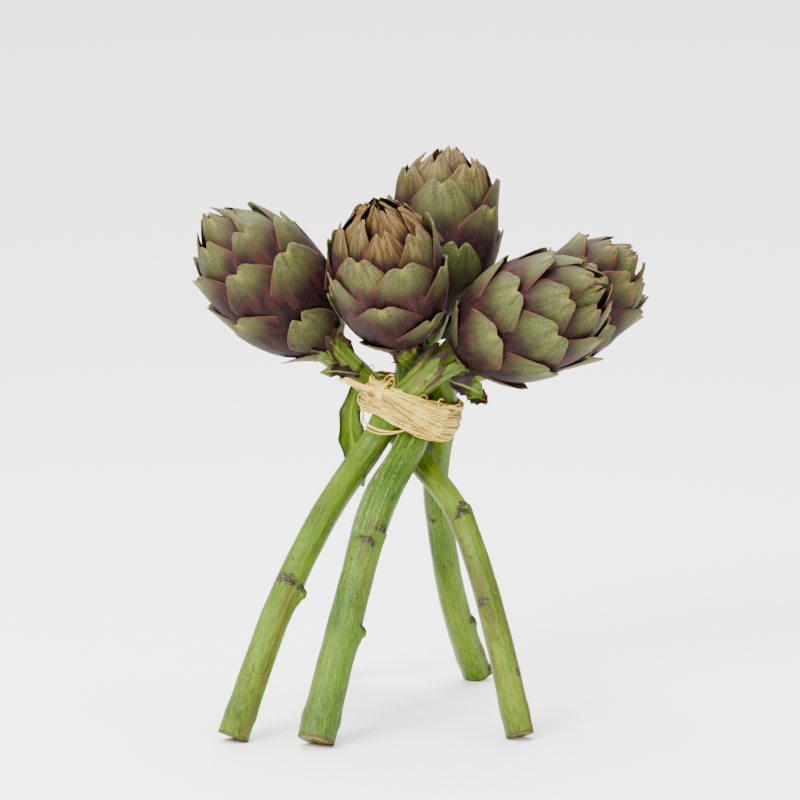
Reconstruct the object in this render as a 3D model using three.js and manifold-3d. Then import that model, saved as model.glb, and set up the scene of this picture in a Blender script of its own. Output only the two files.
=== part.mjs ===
// Five small violet artichokes on long cut stalks, tied at the neck with raffia.
// The stalks splay below the tie, so the bunch stands on their cut ends.
// Millimetres, +Z up. The viewer's side is -Y, and the middle of the tie is over the origin.
import * as THREE from 'three';
import { mergeVertices } from 'three/addons/utils/BufferGeometryUtils.js';
import Module from 'manifold-3d';

const wasm = await Module();
wasm.setup();

// Driving dimensions.
const GAP = 0.4;              // clearance left between pieces that touch in life
const HEAD_LENGTH = 86;       // base of the bracts to the tip of the bud
const STALK_SIDES = 16;
const STALK_STEPS = 26;
const FOOT_FLAT = 1.2;        // how much the floor plane takes off each slanted cut end
const CALYX_RADIUS = 9.5;     // the stalk's top, where it widens into the head
const CALYX_LENGTH = 9;
const NECK_LENGTH = 7;        // the last stretch of stalk, which runs straight into the head
const BRACTS_PER_ROW = 4;
const HIGH_THICKNESS = 1.8;
const LOW_THICKNESS = 2.0;
const TIE_HEIGHT = 22;
const TIE_TILT = 0.33;        // radians, down to the right
const TIE_RADIUS = new THREE.Vector2(23.5, 23.5);

// Radius of the shut bud, from the base of the head to its tip.
const BUD_PROFILE = [
  [0, 6], [4, 10.5], [10, 16.5], [20, 21.5], [32, 24], [45, 23.5], [58, 21], [70, 17], [79, 12], [84, 7],
];

// Each artichoke: where its head starts and ends, how its bracts are turned about it, its girth
// beside the profile's, how far its top is open, how thick its stalk is at the foot and at the
// tie, and the way the stalk takes from the floor to the head.
const ARTICHOKES = {
  left: {
    base: [-43, 4, 184], tip: [-103, 9, 250.5], turn: 20, girth: 1.05, mouth: 0, foot: 8, waist: 6.9,
    way: [[54, -79, 0], [40, -54.5, 60], [24, -29, 104], [7, -4, 122], [-9, 7, 141], [-17.5, 4.5, 160]],
  },
  front: {
    base: [-5, -13, 189], tip: [-18, -47, 266], turn: 0, girth: 1, mouth: 1, foot: 8, waist: 7,
    way: [[35, 57, 0], [23, 44, 40], [15, 31.5, 88], [12.5, 17, 115], [15.5, 6.5, 136], [18, 1, 155],
      [12, -3.5, 171]],
  },
  back: {
    base: [14, 25, 200], tip: [20, 45, 280], turn: 45, girth: 1.02, mouth: 7, foot: 9.6, waist: 8,
    way: [[-46, -95, 0], [-31, -68.5, 60], [-18, -45, 104], [-7, -24.5, 125], [4, -9, 141], [1, 0.5, 156],
      [0, 12.5, 177]],
  },
  right: {
    base: [27, -14, 185], tip: [100, -44, 222], turn: 10, girth: 1.06, mouth: 0, foot: 8, waist: 7.1,
    way: [[-87, -83, 0], [-63, -63, 67], [-43, -39.5, 104], [-28.5, -18.5, 123], [-14, -7.5, 141],
      [-10, -13, 154], [3, -18, 165], [14, -20.5, 176]],
  },
  far: {
    base: [55, 28, 176], tip: [115, 49, 223], turn: 30, girth: 1.03, mouth: 7, foot: 7.6, waist: 6.8,
    way: [[-41, 55, 0], [-29.5, 44.5, 50], [-17.5, 35.5, 100], [-4, 25, 122], [5, 16, 141],
      [11, 14.5, 156], [29, 18.5, 167]],
  },
};

const bunch = new THREE.Group();
bunch.name = 'artichoke_bunch';

const COLOURS = { stalk: 0x8fae4e, bract: 0x6f7350, bud: 0x8a6b45, leaf: 0x6e9a2e, raffia: 0xe6d8ae };

function addNode(name, geometry, kind) {
  const mesh = new THREE.Mesh(geometry, new THREE.MeshStandardMaterial({ color: COLOURS[kind] }));
  mesh.name = name;
  bunch.add(mesh);
}

function vector(p) {
  return new THREE.Vector3(...p);
}

function lerpTable(table, at) {
  let i = 1;
  while (i < table.length - 1 && table[i][0] < at) i += 1;
  const [x0, y0] = table[i - 1];
  const [x1, y1] = table[i];
  return y0 + (y1 - y0) * THREE.MathUtils.clamp((at - x0) / (x1 - x0), 0, 1);
}

// One closed surface, with the seams and edges of the three.js geometry joined up.
function weld(geometry) {
  geometry.deleteAttribute('normal');
  geometry.deleteAttribute('uv');
  return mergeVertices(geometry, 1e-4);
}

// Welds a unit geometry, then moves each of its vertices to its place.
function reshape(geometry, move) {
  const welded = weld(geometry);
  const position = welded.attributes.position;
  const p = new THREE.Vector3();
  for (let i = 0; i < position.count; i += 1) {
    move(p.fromBufferAttribute(position, i));
    position.setXYZ(i, p.x, p.y, p.z);
  }
  return welded;
}

function toSolid(welded) {
  const { Manifold, Mesh } = wasm;
  return new Manifold(new Mesh({
    numProp: 3,
    vertProperties: new Float32Array(welded.attributes.position.array),
    triVerts: new Uint32Array(welded.index.array),
  }));
}

function fromSolid(solid) {
  const mesh = solid.getMesh();
  const geometry = new THREE.BufferGeometry();
  geometry.setAttribute('position', new THREE.BufferAttribute(mesh.vertProperties, 3));
  geometry.setIndex(new THREE.BufferAttribute(mesh.triVerts, 1));
  return geometry;
}

// The head's own frame: out along its axis, with the front of the head towards the viewer.
function headFrame({ base, tip, girth, mouth }) {
  const origin = vector(base);
  const axis = vector(tip).sub(origin);
  const scale = axis.length() / HEAD_LENGTH;
  axis.normalize();
  const front = new THREE.Vector3(0, -1, 0).addScaledVector(axis, axis.y).normalize();
  const side = new THREE.Vector3().crossVectors(axis, front);
  return { origin, axis, front, side, scale, girth, mouth };
}

// Radius of the shut bud of this head, which is wider near the top where the head is open.
function budRadius(frame, along) {
  return lerpTable(BUD_PROFILE, along) * frame.girth + frame.mouth * THREE.MathUtils.smoothstep(along, 45, 84);
}

function placeOnHead(frame, p, along, radius, angle) {
  return p.copy(frame.origin)
    .addScaledVector(frame.axis, along * frame.scale)
    .addScaledVector(frame.front, radius * Math.cos(angle))
    .addScaledVector(frame.side, radius * Math.sin(angle));
}

// A stalk is a tube along its way. It widens into the head, and its foot is cut square across.
function stalkGeometry(artichoke, frame, grow = 0) {
  const [foot, ...middle] = artichoke.way.map(vector);
  const lean = middle[0].clone().sub(foot).angleTo(new THREE.Vector3(0, 0, 1));
  foot.z = artichoke.foot * Math.sin(lean) - FOOT_FLAT;
  const neck = frame.origin.clone().addScaledVector(frame.axis, -NECK_LENGTH);
  const top = frame.origin.clone().addScaledVector(frame.axis, -GAP);
  const way = new THREE.CatmullRomCurve3([foot, ...middle, neck, top], false, 'centripetal');
  const length = way.getLength();
  const tube = new THREE.CylinderGeometry(1, 1, 1, STALK_SIDES, STALK_STEPS);
  return reshape(tube, (p) => {
    const t = THREE.MathUtils.clamp(p.y + 0.5, 0, 1);
    const centre = way.getPointAt(t);
    const ahead = way.getTangentAt(t);
    const across = new THREE.Vector3(1, 0, 0).addScaledVector(ahead, -ahead.x).normalize();
    const away = new THREE.Vector3().crossVectors(across, ahead);
    const height = centre.z;
    const flare = Math.max(0, 1 - (length * (1 - t)) / CALYX_LENGTH);
    const plain = THREE.MathUtils.lerp(artichoke.foot, artichoke.waist, Math.min(1, height / 115));
    const radius = THREE.MathUtils.lerp(plain, CALYX_RADIUS, flare * flare) + grow;
    const [x, z] = [p.x * radius, p.z * radius];
    p.copy(centre).addScaledVector(across, x).addScaledVector(away, z);
  });
}

// The floor takes a small flat off the lowest edge of the cut end, which is what a foot rests on.
function trimmedStalk(artichoke, frame) {
  const above = weld(new THREE.BoxGeometry(600, 600, 600).translate(0, 0, 300));
  return fromSolid(toSolid(stalkGeometry(artichoke, frame)).intersect(toSolid(above)));
}

// The inner bracts are packed shut, so they are one closed bud.
function budGeometry(frame) {
  const rings = BUD_PROFILE.length + 1;
  const ball = new THREE.CylinderGeometry(1, 1, 1, 20, rings);
  return reshape(ball, (p) => {
    const t = p.y + 0.5;
    const step = Math.round(t * rings);
    const [along, radius] = step >= BUD_PROFILE.length
      ? [HEAD_LENGTH - (rings - step), (step === rings ? 3 : 5) + 0.7 * frame.mouth]
      : [BUD_PROFILE[step][0], budRadius(frame, BUD_PROFILE[step][0])];
    const reach = Math.hypot(p.x, p.z);
    placeOnHead(frame, p, along, radius * reach, Math.atan2(-p.z, p.x));
  });
}

// A bract is a pointed scale bent round the bud, thinner towards its tip.
function bractGeometry(frame, angle, row) {
  const slab = new THREE.BoxGeometry(1, 1, 1, 5, 8, 1);
  const halfArc = Math.PI / BRACTS_PER_ROW;
  return reshape(slab, (p) => {
    const up = p.y + 0.5;
    const along = row.start + (row.end - row.start) * up;
    const outline = up < 0.45 ? 1 : 1 - 0.8 * ((up - 0.45) / 0.55) ** 1.6;
    const face = budRadius(frame, along) + row.offset;
    const thickness = row.thickness * (1 - 0.45 * up);
    const radius = face + row.flare * up ** 3 + thickness * (p.z + 0.5);
    const sweep = (halfArc - GAP / face) * outline;
    placeOnHead(frame, p, along, radius, angle + 2 * p.x * sweep);
  });
}

const ROWS = {
  high: { start: 3, end: 82, offset: 1.5, thickness: HIGH_THICKNESS, flare: 1.5, turn: 0 },
  low: { start: 1, end: 60, offset: 4.3, thickness: LOW_THICKNESS, flare: 1.5, turn: 45 },
};

// The raffia is wound round the five necks, close on them, and its tail sticks out to the left.
function raffiaGeometry(stalks) {
  const band = new THREE.CylinderGeometry(1, 1, 1, 30, 4);
  const centre = new THREE.Vector3(1.5, -1.5, 152);
  const wound = reshape(band, (p) => {
    const bulge = 1 + 0.07 * Math.cos(Math.PI * p.y);
    const ring = new THREE.Vector3(p.x * TIE_RADIUS.x * bulge, -p.z * TIE_RADIUS.y * bulge, 0);
    const slope = -Math.tan(TIE_TILT) * ring.x;
    p.set(centre.x + ring.x, centre.y + ring.y, centre.z + slope + p.y * TIE_HEIGHT);
  });
  const knot = new THREE.SphereGeometry(1, 12, 8).scale(10, 5, 5).rotateY(0.3).translate(-14, -20, 163);
  const tail = new THREE.BoxGeometry(26, 1.2, 4).rotateY(0.12).translate(-25, -20.5, 164);
  let solid = toSolid(wound);
  for (const piece of [knot, tail]) solid = solid.add(toSolid(weld(piece)));
  for (const stalk of stalks) solid = solid.subtract(toSolid(stalk));
  const bodies = solid.decompose().sort((a, b) => b.volume() - a.volume());
  return fromSolid(bodies[0]);
}

// A leaf is a pointed blade along a line of points, folded a little along its midrib.
function leafGeometry({ way, width, thickness, facing, fold }) {
  const line = new THREE.CatmullRomCurve3(way.map(vector), false, 'centripetal');
  const slab = new THREE.BoxGeometry(1, 1, 1, 4, 10, 1);
  const up = vector(facing).normalize();
  return reshape(slab, (p) => {
    const t = p.y + 0.5;
    const centre = line.getPointAt(t);
    const ahead = line.getTangentAt(t);
    const across = new THREE.Vector3().crossVectors(ahead, up).normalize();
    const out = new THREE.Vector3().crossVectors(across, ahead);
    const half = width * 0.5 * Math.max(0.18, Math.sin(Math.PI * (0.12 + 0.8 * t)));
    const sideways = 2 * p.x * half;
    const lift = fold * Math.abs(sideways) + p.z * thickness;
    p.copy(centre).addScaledVector(across, sideways).addScaledVector(out, lift);
  });
}

const LEAVES = {
  leaf_hanging: {
    way: [[-23, 15, 162], [-29, 17, 151], [-30, 17, 138], [-27, 16, 122], [-23, 15, 108]],
    width: 18, thickness: 1, facing: [0, -1, 0.1], fold: 0.15,
  },
  leaf_left: {
    way: [[-25, -6.5, 169], [-31, -8, 170], [-38, -9, 171], [-45, -9.5, 170.5]],
    width: 9, thickness: 1, facing: [0, -0.6, 0.8], fold: 0.2,
  },
  leaf_right: {
    way: [[20, -24, 168], [28, -25, 166], [36, -26, 162]],
    width: 13, thickness: 1.2, facing: [0, -0.8, 0.5], fold: 0.2,
  },
  leaf_under_right: {
    way: [[27.5, -2, 160], [33, -4, 158], [39, -6, 155]],
    width: 11, thickness: 1.2, facing: [0, -0.9, 0.3], fold: 0.2,
  },
};

const loose = [];
for (const [name, artichoke] of Object.entries(ARTICHOKES)) {
  const frame = headFrame(artichoke);
  addNode(`stalk_${name}`, trimmedStalk(artichoke, frame), 'stalk');
  addNode(`bud_${name}`, budGeometry(frame), 'bud');
  for (const [rowName, row] of Object.entries(ROWS)) {
    for (let i = 0; i < BRACTS_PER_ROW; i += 1) {
      const degrees = artichoke.turn + row.turn + (i * 360) / BRACTS_PER_ROW;
      const angle = THREE.MathUtils.degToRad(degrees);
      addNode(`bract_${name}_${rowName}_${i + 1}`, bractGeometry(frame, angle, row), 'bract');
    }
  }
  loose.push(stalkGeometry(artichoke, frame, GAP));
}
for (const [name, leaf] of Object.entries(LEAVES)) addNode(name, leafGeometry(leaf), 'leaf');
addNode('raffia_tie', raffiaGeometry(loose), 'raffia');

// The origin is the middle of the footprint, on the floor.
const box = new THREE.Box3().setFromObject(bunch);
bunch.position.set(-(box.min.x + box.max.x) / 2, -(box.min.y + box.max.y) / 2, 0);
bunch.updateMatrixWorld(true);

export default bunch;
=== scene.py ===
"""A tied bunch of five small violet artichokes, standing on its cut stalk ends."""
import math
import random

import bpy
import numpy as np
from mathutils import Matrix, Vector, noise


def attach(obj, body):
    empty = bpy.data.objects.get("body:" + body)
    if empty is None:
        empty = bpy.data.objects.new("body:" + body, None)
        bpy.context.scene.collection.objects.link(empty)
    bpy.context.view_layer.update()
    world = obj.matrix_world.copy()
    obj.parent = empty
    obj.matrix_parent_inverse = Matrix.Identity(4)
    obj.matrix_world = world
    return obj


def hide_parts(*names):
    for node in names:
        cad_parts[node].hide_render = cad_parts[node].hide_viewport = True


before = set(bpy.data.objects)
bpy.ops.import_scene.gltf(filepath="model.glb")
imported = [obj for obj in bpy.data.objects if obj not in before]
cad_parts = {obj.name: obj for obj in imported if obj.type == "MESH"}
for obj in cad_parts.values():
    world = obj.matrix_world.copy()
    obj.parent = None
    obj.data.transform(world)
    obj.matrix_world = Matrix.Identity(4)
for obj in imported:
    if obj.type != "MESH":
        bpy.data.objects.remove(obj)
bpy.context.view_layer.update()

# ---- Stalks -------------------------------------------------------------------------------
# Five flower stalks, each a solid ribbed stem that widens into its head. They are cut square
# across at the foot, so each one stands on the lower edge of its cut face.
MM = 0.001
HEADS = ("left", "front", "back", "right", "far")
STALK_STEP = 3 * MM           # between the cuts that find a solid's middle line
FIRST_CUT = 12 * MM           # above the floor, clear of the slanting foot
CUT_REACH = 16 * MM           # past this a cut belongs to another part of the solid
FOOT_SINK = 1.2 * MM          # a foot's low edge runs this far past the floor, then is levelled
NECK_START = 9 * MM           # from the base of the head, where the neck's own line takes over
NECK_STOPS = ((-3 * MM, 9.5 * MM), (1 * MM, 11 * MM), (5 * MM, 11 * MM))   # along the axis, radius
STALK_SIDES = 56
RING_STEP = 1.1 * MM
LINE_PASSES = 60              # of smoothing, once the line has a point at every ring
RIBS = 9
RIB_HEIGHT = 0.05             # of the stalk's radius
RIB_WIDTH = 420               # the higher, the thinner each rib
CUT_RINGS = ((0.3, 0.95), (0.55, 0.8), (0.8, 0.6), (0.93, 0.45), (1.0, 0.3))   # radius, cut mask


def triangles(node):
    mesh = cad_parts[node].data
    mesh.calc_loop_triangles()
    points = np.array([v.co for v in mesh.vertices], float)
    return points[np.array([t.vertices for t in mesh.loop_triangles])]


def cut_through(tris, point, normal, reach):
    """Middle and half width of the cut that a plane makes through a solid, near a point."""
    height = (tris - point) @ normal
    corners = []
    for a, b in ((0, 1), (1, 2), (2, 0)):
        crosses = (height[:, a] > 0) != (height[:, b] > 0)
        share = height[crosses, a] / (height[crosses, a] - height[crosses, b])
        corners.append((crosses, tris[crosses, a] + share[:, None] * (tris[crosses, b] - tris[crosses, a])))
    count = np.zeros(len(tris), int)
    ends = np.zeros((len(tris), 2, 3))
    for crosses, places in corners:
        rows = np.flatnonzero(crosses)
        ends[rows, np.minimum(count[rows], 1)] = places
        count[rows] += 1
    ends = ends[count == 2]
    if not len(ends):
        return None
    middle = ends.mean(1)
    near = np.linalg.norm(middle - point, axis=1) < reach
    if near.sum() < 4:
        return None
    ends, middle = ends[near], middle[near]
    length = np.linalg.norm(ends[:, 0] - ends[:, 1], axis=1)
    centre = (middle * length[:, None]).sum(0) / length.sum()
    return centre, np.linalg.norm(middle - centre, axis=1)


def trace(node, start, heading, step, reach):
    """Points and radii along the middle of a long CAD node, from a start to its far end."""
    tris = triangles(node)
    point, heading = np.array(start, float), np.array(heading, float)
    line = []
    for _ in range(400):
        cut = cut_through(tris, point, heading / np.linalg.norm(heading), reach)
        if cut is None:
            break
        line.append((cut[0], cut[1].mean()))
        if len(line) > 1:
            back = line[max(0, len(line) - 4)][0]
            heading = line[-1][0] - back
        heading = heading / np.linalg.norm(heading)
        point = line[-1][0] + heading * step
    return np.array([p for p, _ in line]), np.array([r for _, r in line])


def smooth(values, passes):
    values = values.copy()
    for _ in range(passes):
        values[1:-1] = (values[:-2] + 2 * values[1:-1] + values[2:]) / 4
    return values


def head_frame(name):
    """Base, axis, front and side of a head, from its bud in the CAD, and the head's length."""
    points = np.unique(triangles("bud_" + name).reshape(-1, 3).round(6), axis=0)
    tie = triangles("raffia_tie").reshape(-1, 3).mean(0)
    middle = points.mean(0)
    axis = np.linalg.svd(points - middle)[2][0]
    if (middle - tie) @ axis < 0:
        axis = -axis
    reach = (points - middle) @ axis
    base = middle + axis * reach.min()
    front = np.array([0, -1.0, 0]) + axis * axis[1]
    front /= np.linalg.norm(front)
    return base, axis, front, np.cross(axis, front), reach.max() - reach.min()


def stalk_line(name):
    """The stalk's middle from the middle of its cut foot to the base of its head."""
    node = "stalk_" + name
    tris = triangles(node)
    low = tris[tris[:, :, 2].max(1) < FIRST_CUT + 2 * MM].reshape(-1, 3)
    start = np.array([*low[:, :2].mean(0), FIRST_CUT])
    cut = cut_through(tris, start, np.array([0, 0, 1.0]), CUT_REACH + 4 * MM)
    line, radius = trace(node, cut[0], (0, 0, 1.0), STALK_STEP, CUT_REACH)
    line, radius = smooth(line, 6), smooth(radius, 2)
    down = line[0] - line[3]
    down /= np.linalg.norm(down)
    lean = radius[2] * math.sqrt(1 - down[2] ** 2)
    drop = (line[0][2] - lean + FOOT_SINK) / -down[2]
    steps = int(drop / STALK_STEP) + 1
    foot = [line[0] + down * drop * (k / steps) for k in range(steps, 0, -1)]
    base, axis = head_frame(name)[:2]
    keep = np.linalg.norm(line - base, axis=1) > NECK_START
    line, radius = line[keep], radius[keep]
    neck = np.array([base + axis * reach for reach, _ in NECK_STOPS])
    line = np.vstack([foot, line, neck])
    radius = np.concatenate([np.full(steps, radius[2]), radius, [thick for _, thick in NECK_STOPS]])
    radius[-8:-1] = smooth(radius[-9:], 2)[1:-1]
    return smooth(line, 2), radius


def distances(line):
    """How far along a line each of its points is."""
    return np.concatenate([[0], np.cumsum(np.linalg.norm(np.diff(line, axis=0), axis=1))])


def headings(line):
    """The direction of a line at each of its points."""
    ahead = np.gradient(line, axis=0)
    return ahead / np.linalg.norm(ahead, axis=1)[:, None]


def side_frames(line):
    """A line's direction and two across it, at each of its points, turning as little as they can."""
    ahead = headings(line)
    across = [np.cross(ahead[0], (0, 1, 0))]
    across[0] /= np.linalg.norm(across[0])
    for direction in ahead[1:]:
        turned = across[-1] - direction * (across[-1] @ direction)
        across.append(turned / np.linalg.norm(turned))
    across = np.array(across)
    return ahead, across, np.cross(ahead, across)


def new_mesh(name, points, faces):
    mesh = bpy.data.meshes.new(name)
    mesh.from_pydata([tuple(p) for p in points], [], faces)
    mesh.validate()
    mesh.update()
    return mesh


def put_attribute(mesh, name, values):
    layer = mesh.attributes.new(name, "FLOAT", "POINT")
    layer.data.foreach_set("value", np.asarray(values, np.float32))


def add_piece(name, mesh, material, slot, *nodes):
    piece = bpy.data.objects.new(name, mesh)
    bpy.context.scene.collection.objects.link(piece)
    mesh.materials.clear()
    mesh.materials.append(material)
    mesh.shade_smooth()
    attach(piece, "root")
    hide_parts(*nodes)
    return piece


# Nodes where side leaves were cut off: how far up the stalk, which way round it from its left side
# through its front, and how wide and how high the stub is in millimetres.
SCARS = {
    "left": [(0.488, 2.5, 5.5, 1.8), (0.470, 1.8, 4.0, 0.9), (0.28, 1.0, 4.5, 0.7), (0.12, 2.6, 2, 0.3)],
    "front": [(0.157, 2.75, 3.6, 1.6), (0.014, 2.8, 2.6, 1.2), (0.45, 0.9, 2.5, 0.4), (0.62, 4.4, 6, 1.4)],
    "back": [(0.436, 2.45, 5.5, 1.2), (0.405, 1.5, 5.0, 1.2), (0.235, 2.85, 3.0, 2.8), (0.68, 4.5, 6, 1.4)],
    "right": [(0.327, 1.2, 6.0, 2.0), (0.324, 2.75, 5.0, 3.0), (0.3, 4.6, 5, 1.2), (0.62, 2.9, 2.5, 0.4)],
    "far": [(0.4, 4.6, 6.0, 1.6), (0.2, 0.8, 3, 0.7), (0.62, 3.2, 6, 1.4)],
}
# Long bruises down a stalk: from and to how far up it, which way round it, and how wide in mm.
BRUISES = {
    "left": [(0.0, 0.5, 2.7, 2.0), (0.1, 0.5, 0.6, 2.6), (0.2, 0.33, 1.3, 3.0)],
    "front": [(0.0, 0.2, 2.6, 1.6)],
    "back": [(0.25, 0.45, 2.0, 1.2), (0.36, 0.44, 1.5, 2.4)],
    "right": [(0.0, 0.33, 2.1, 2.6), (0.02, 0.14, 1.3, 0.8), (0.24, 0.33, 1.7, 2.2), (0.6, 0.9, 2.7, 2.0)],
    "far": [(0.1, 0.5, 2.0, 2.0)],
}
# How thick each stalk is against its solid, up to where it starts to widen into its head.
STALK_GIRTH = {"left": 0.90, "front": 0.95, "back": 1.0, "right": 1.0, "far": 1.0}
GIRTH_FADE = 0.6              # how far up a stalk that girth begins to fade
PALE_RIBS = ("back", 0.42)    # the stalk whose ribs are palest, with their own pale colour and a painted highlight, and from how far up it
RIB_TONE = 0.25               # share of that paleness and painted highlight on the ribs, everywhere else
NECK_TINT = 20                # mm of the neck that turn brownish pink
PITH_DISH = 0.5 * MM          # how far the middle of the cut face sinks in


def stalk_mesh(name, line, radius):
    rng = random.Random(HEADS.index(name) + 11)
    coarse = distances(line)
    along = np.linspace(0, coarse[-1], int(coarse[-1] / RING_STEP))
    line = smooth(np.array([np.interp(along, coarse, line[:, k]) for k in range(3)]).T, LINE_PASSES)
    girth = STALK_GIRTH[name]
    radius = np.interp(along, coarse, radius)
    radius = radius * np.interp(along, (0, along[-1] * GIRTH_FADE, along[-1]), (girth, girth, 1))
    ahead, across, away = side_frames(line)
    ribs = [(2 * math.pi * (k + rng.uniform(-0.28, 0.28)) / RIBS, rng.uniform(0.5, 1.2)) for k in range(RIBS)]
    points, rib_mask, scar_mask, bruise_mask, across_mm, along_mm, end_mask = [], [], [], [], [], [], []

    def ring(i, share, end):
        for k in range(STALK_SIDES):
            angle = 2 * math.pi * k / STALK_SIDES
            twist = angle + 0.5 * along[i] / along[-1]
            ridge = max(w * max(0, math.cos((twist - a) / 2)) ** RIB_WIDTH for a, w in ribs)
            spot = (math.cos(angle) * 1.3, math.sin(angle) * 1.3, along[i] * 80 + 17.3 * HEADS.index(name))
            rough = noise.noise(Vector(spot))
            scar, lump = 0, 0
            for place, turn, size, height in SCARS[name]:
                gap = ((angle - turn + math.pi) % (2 * math.pi) - math.pi) * radius[i] / MM
                ledge = 1.6 * noise.noise(Vector((gap * 0.5, turn * 9, place * 31))) - 0.035 * gap * gap
                above = (along[i] - place * along[-1]) / MM - ledge
                narrow = math.exp(-(gap / size) ** 2 * 1.6)
                rise = math.exp(-(above / (1.3 if above > 0 else 7.5)) ** 2)
                ragged = 1 + 0.5 * noise.noise(Vector((gap * 1.1, above * 0.6, turn)))
                lump += height * MM * narrow * rise * ragged
                crust = math.exp(-((above - 0.5) / (2.8 if above > 0 else 1.2 + 0.25 * size)) ** 2)
                scar = max(scar, narrow ** 0.5 * crust)
            bruise = 0
            for low, high, turn, size in BRUISES[name]:
                gap = ((angle - turn + math.pi) % (2 * math.pi) - math.pi) * radius[i] / MM
                edge = min(along[i] - low * along[-1], high * along[-1] - along[i]) / MM
                bruise = max(bruise, math.exp(-(gap / size) ** 2) * min(1, max(0, edge / 4 + 1)))
            r = radius[i] * (1 + RIB_HEIGHT * (ridge - 0.35) + 0.035 * rough) + lump
            place = line[i] + share * r * (across[i] * math.cos(angle) + away[i] * math.sin(angle))
            points.append((place[0], place[1], max(place[2], 0)))
            # Up the back stalk the ribs take the full pale colour and painted highlight.
            brightest_ribs = name == PALE_RIBS[0] and along[i] > PALE_RIBS[1] * along[-1]
            rib_mask.append(ridge * (1.0 if brightest_ribs else RIB_TONE))
            scar_mask.append(scar)
            bruise_mask.append(bruise)
            across_mm.append(twist * radius[i] / MM)
            along_mm.append(along[i] / MM)
            end_mask.append(end)

    for share, cut in CUT_RINGS:
        ring(0, share, cut)
    for i in range(len(line)):
        ring(i, 1.0, 0)
    last = len(line) - 1
    ring(last, 0.5, 0)
    neck_mask = [max(0, 1 - (along[-1] / MM - far) / NECK_TINT) for far in along_mm]
    rings = len(points) // STALK_SIDES
    faces = []
    for i in range(rings - 1):
        for k in range(STALK_SIDES):
            a, b = i * STALK_SIDES + k, i * STALK_SIDES + (k + 1) % STALK_SIDES
            faces.append((a, b, b + STALK_SIDES, a + STALK_SIDES))
    points.append(tuple(line[0] + ahead[0] * PITH_DISH))
    points.append(tuple(line[last]))
    faces += [(len(points) - 2, (k + 1) % STALK_SIDES, k) for k in range(STALK_SIDES)]
    top = (rings - 1) * STALK_SIDES
    faces += [(len(points) - 1, top + k, top + (k + 1) % STALK_SIDES) for k in range(STALK_SIDES)]
    mesh = new_mesh("stalk", points, faces)
    # Each attribute, with its values at the two points that close the foot and the top.
    for label, values, foot, head in (("rib", rib_mask, 0, 0), ("scar", scar_mask, 0, 0),
                                      ("bruise", bruise_mask, 0, 0), ("across", across_mm, 0, 0),
                                      ("along", along_mm, 0, along[-1] / MM),
                                      ("cut", end_mask, 1, 0), ("neck", neck_mask, 0, 1)):
        put_attribute(mesh, label, values + [foot, head])
    return mesh


class Nodes:
    """Adds nodes to a tree: each method makes one and gives back its output."""

    def __init__(self, tree):
        self.tree = tree

    def feed(self, socket, value):
        if isinstance(value, bpy.types.NodeSocket):
            self.tree.links.new(value, socket)
        elif socket.type == "RGBA" and len(value) == 3:
            socket.default_value = (*value, 1)
        else:
            socket.default_value = value

    def add(self, kind, settings=None, **inputs):
        node = self.tree.nodes.new(kind)
        for label, value in (settings or {}).items():
            setattr(node, label, value)
        for label, value in inputs.items():
            self.feed(node.inputs[label.replace("_", " ")], value)
        return node

    def math(self, operation, a, b=0.0, c=0.0):
        node = self.add("ShaderNodeMath", {"operation": operation})
        for socket, value in zip(node.inputs, (a, b, c)):
            self.feed(socket, value)
        return node.outputs[0]

    def sum(self, *values):
        total = values[0]
        for value in values[1:]:
            total = self.math("ADD", total, value)
        return total

    def times(self, *values):
        total = values[0]
        for value in values[1:]:
            total = self.math("MULTIPLY", total, value)
        return total

    def vector(self, x, y, z):
        return self.add("ShaderNodeCombineXYZ", X=x, Y=y, Z=z).outputs[0]

    def noise(self, where, scale, detail=3.0, roughness=0.55):
        node = self.add("ShaderNodeTexNoise", Vector=where, Scale=scale, Detail=detail, Roughness=roughness)
        return node.outputs[0]

    def step(self, value, low, high, out_low=0.0, out_high=1.0):
        node = self.add("ShaderNodeMapRange", {"interpolation_type": "SMOOTHSTEP"}, Value=value,
                        From_Min=low, From_Max=high, To_Min=out_low, To_Max=out_high)
        return node.outputs[0]

    def curve(self, value, points):
        node = self.add("ShaderNodeFloatCurve", Value=value)
        line = node.mapping.curves[0].points
        for x, y in points[1:-1]:
            line.new(x, y)
        line[0].location, line[-1].location = points[0], points[-1]
        node.mapping.update()
        return node.outputs[0]


class Shader(Nodes):
    """The nodes of one material."""

    def __init__(self, name):
        self.material = bpy.data.materials.new(name)
        self.material.use_nodes = True
        super().__init__(self.material.node_tree)
        self.surface = self.tree.nodes["Principled BSDF"]

    def attribute(self, name):
        return self.add("ShaderNodeAttribute", {"attribute_name": name}).outputs["Fac"]

    def place(self):
        return self.tree.nodes.new("ShaderNodeTexCoord").outputs["Object"]

    def mix(self, share, a, b):
        node = self.add("ShaderNodeMix", {"data_type": "RGBA"})
        for i, value in ((0, share), (6, a), (7, b)):
            self.feed(node.inputs[i], value)
        return node.outputs[2]

    def bump(self, height, strength, distance):
        node = self.add("ShaderNodeBump", Height=height, Strength=strength, Distance=distance)
        self.tree.links.new(node.outputs[0], self.surface.inputs["Normal"])

    def finish(self, colour, roughness, **constants):
        self.feed(self.surface.inputs["Base Color"], colour)
        self.feed(self.surface.inputs["Roughness"], roughness)
        for label, value in constants.items():
            self.surface.inputs[label.replace("_", " ")].default_value = value
        return self.material


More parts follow.
